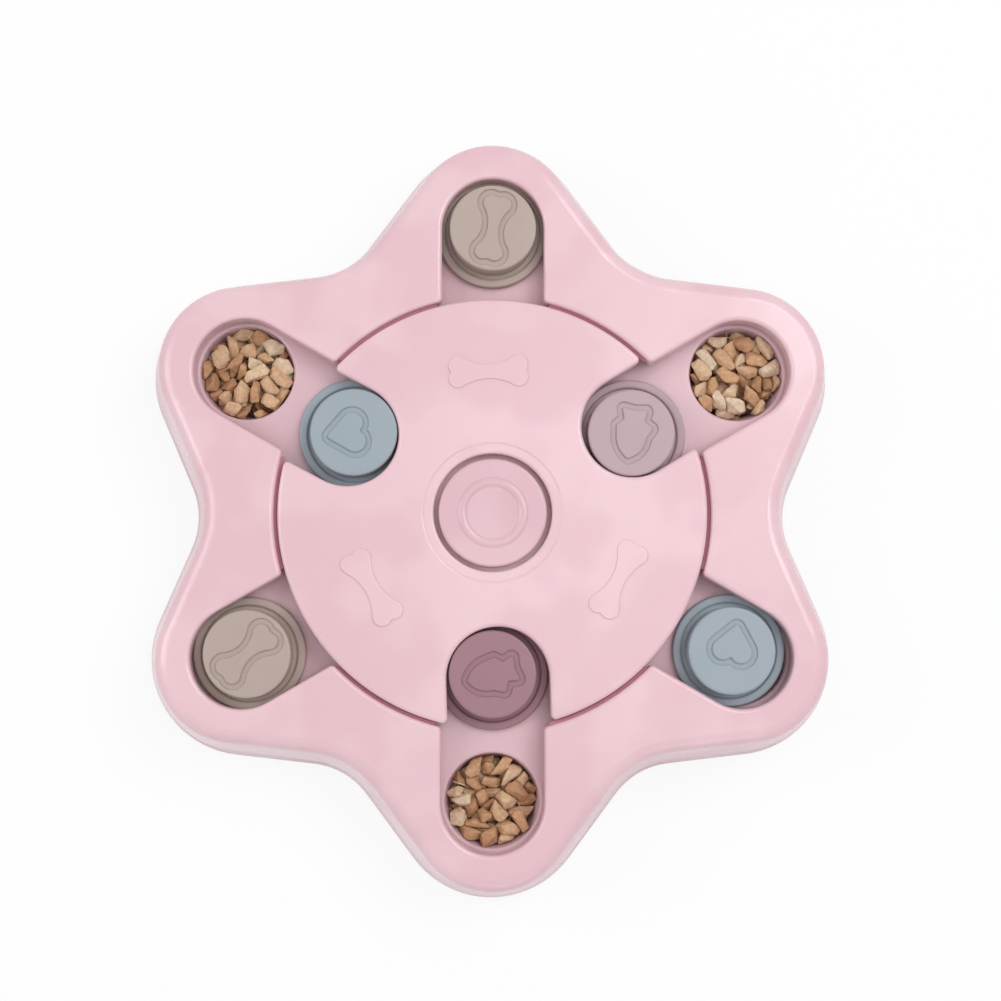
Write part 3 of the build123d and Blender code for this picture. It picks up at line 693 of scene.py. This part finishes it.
biscuit = baked_biscuit("baked_biscuit")
for well, angle in enumerate(food_angles):
    draw = random.Random(food_seed + well)
    chunks = [biscuit_chunk(draw) for number in range(chunks_per_well)]
    places = poured(chunks, draw)
    direction = math.radians(angle)
    east, north = math.cos(direction), math.sin(direction)
    centre = Matrix.Translation((well_distance * east, well_distance * north, 0))
    heap = bmesh.new()
    for build, place in zip(chunks, places):
        roughened(build, draw)
        build.transform(centre @ place)
        top = max(vertex.co.z for vertex in build.verts)
        if top < food_top:  # a chunk left higher would touch a puck
            part = bpy.data.meshes.new("chunk")
            build.to_mesh(part)
            heap.from_mesh(part)
            bpy.data.meshes.remove(part)
        build.free()
    mesh = bpy.data.meshes.new(f"dry_food_{angle}")
    heap.to_mesh(mesh)
    heap.free()
    food = bpy.data.objects.new(f"dry_food_{angle}", mesh)
    food.data.materials.append(biscuit)
    bpy.context.scene.collection.objects.link(food)
    shade(food, food_crease)
    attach(food, "case")


# ------------------------------------------------------------ floor and light
# White paper that the camera sees as plain white apart from the feeder's own soft shadow, an
# even dome of light, a softbox high up at either side, a weak panel overhead and a fill in front.
def plain_white(tree, straight, mirrored):
    """Share of plain white in a straight look, and in a mirrored or clear one; 0 otherwise."""
    path = add_node(tree, "LightPath")
    glossy_or_clear = add_node(
        tree,
        "Math",
        {0: path.outputs["Is Glossy Ray"], 1: path.outputs["Is Transmission Ray"]},
        operation="MAXIMUM",
    )
    shiny = add_node(
        tree, "Math", {0: glossy_or_clear.outputs["Value"], 1: mirrored}, operation="MULTIPLY"
    )
    looked = add_node(
        tree, "Math", {0: path.outputs["Is Camera Ray"], 1: straight}, operation="MULTIPLY"
    )
    return add_node(
        tree, "Math", {0: looked.outputs["Value"], 1: shiny.outputs["Value"]}, operation="MAXIMUM"
    ).outputs["Value"]


floor_half = 6.0
dome_strength = 0.55
floor_corners = [
    (floor_half * east, floor_half * north, 0)
    for east, north in ((-1, -1), (1, -1), (1, 1), (-1, 1))
]
floor_mesh = bpy.data.meshes.new("floor")
floor_mesh.from_pydata(floor_corners, [], [(0, 1, 2, 3)])
floor = bpy.data.objects.new("floor", floor_mesh)
bpy.context.scene.collection.objects.link(floor)
paper, tree, shader = new_material("white_paper")
shader.inputs["Base Color"].default_value = colour("#f4f4f4")
shader.inputs["Roughness"].default_value = 0.9
glow = add_node(tree, "Emission", {"Color": (1, 1, 1, 1), "Strength": 1.0})
blend = add_node(
    tree,
    "MixShader",
    {
        0: plain_white(tree, straight=0.85, mirrored=0.45),
        1: shader.outputs["BSDF"],
        2: glow.outputs["Emission"],
    },
)
tree.links.new(blend.outputs["Shader"], tree.nodes["Material Output"].inputs["Surface"])
floor.data.materials.append(paper)

world = bpy.data.worlds.new("studio")
bpy.context.scene.world = world
world.use_nodes = True
tree = world.node_tree
dome = tree.nodes["Background"]
dome.inputs["Color"].default_value = colour("#ffffff")
dome.inputs["Strength"].default_value = dome_strength
seen = add_node(tree, "Background", {"Color": (1, 1, 1, 1), "Strength": 1.0})
blend = add_node(
    tree,
    "MixShader",
    {
        0: plain_white(tree, straight=1.0, mirrored=1.0),
        1: dome.outputs["Background"],
        2: seen.outputs["Background"],
    },
)
tree.links.new(blend.outputs["Shader"], tree.nodes["World Output"].inputs["Surface"])


def softbox(name, place, aim, size, power):
    """A rectangular softbox at this place, facing aim."""
    light = bpy.data.lights.new(name, "AREA")
    light.shape = "RECTANGLE"
    light.size, light.size_y = size
    light.energy = power
    box = bpy.data.objects.new(name, light)
    box.location = place
    box.rotation_euler = (Vector(aim) - Vector(place)).to_track_quat("-Z", "Y").to_euler()
    bpy.context.scene.collection.objects.link(box)


middle = (0, 0, 0)
softbox("softbox_right", place=(0.55, 0.35, 0.95), aim=middle, size=(0.7, 0.5), power=4.8)
softbox("softbox_left", place=(-0.8, 0.1, 0.7), aim=middle, size=(0.5, 0.5), power=2.6)
softbox(
    "panel_overhead", place=(0.12, 0.03, 0.95), aim=(0.12, 0.03, 0), size=(0.32, 0.42), power=0.58
)
softbox("fill_front", place=(0.1, -0.9, 0.35), aim=middle, size=(0.6, 0.3), power=0.7)
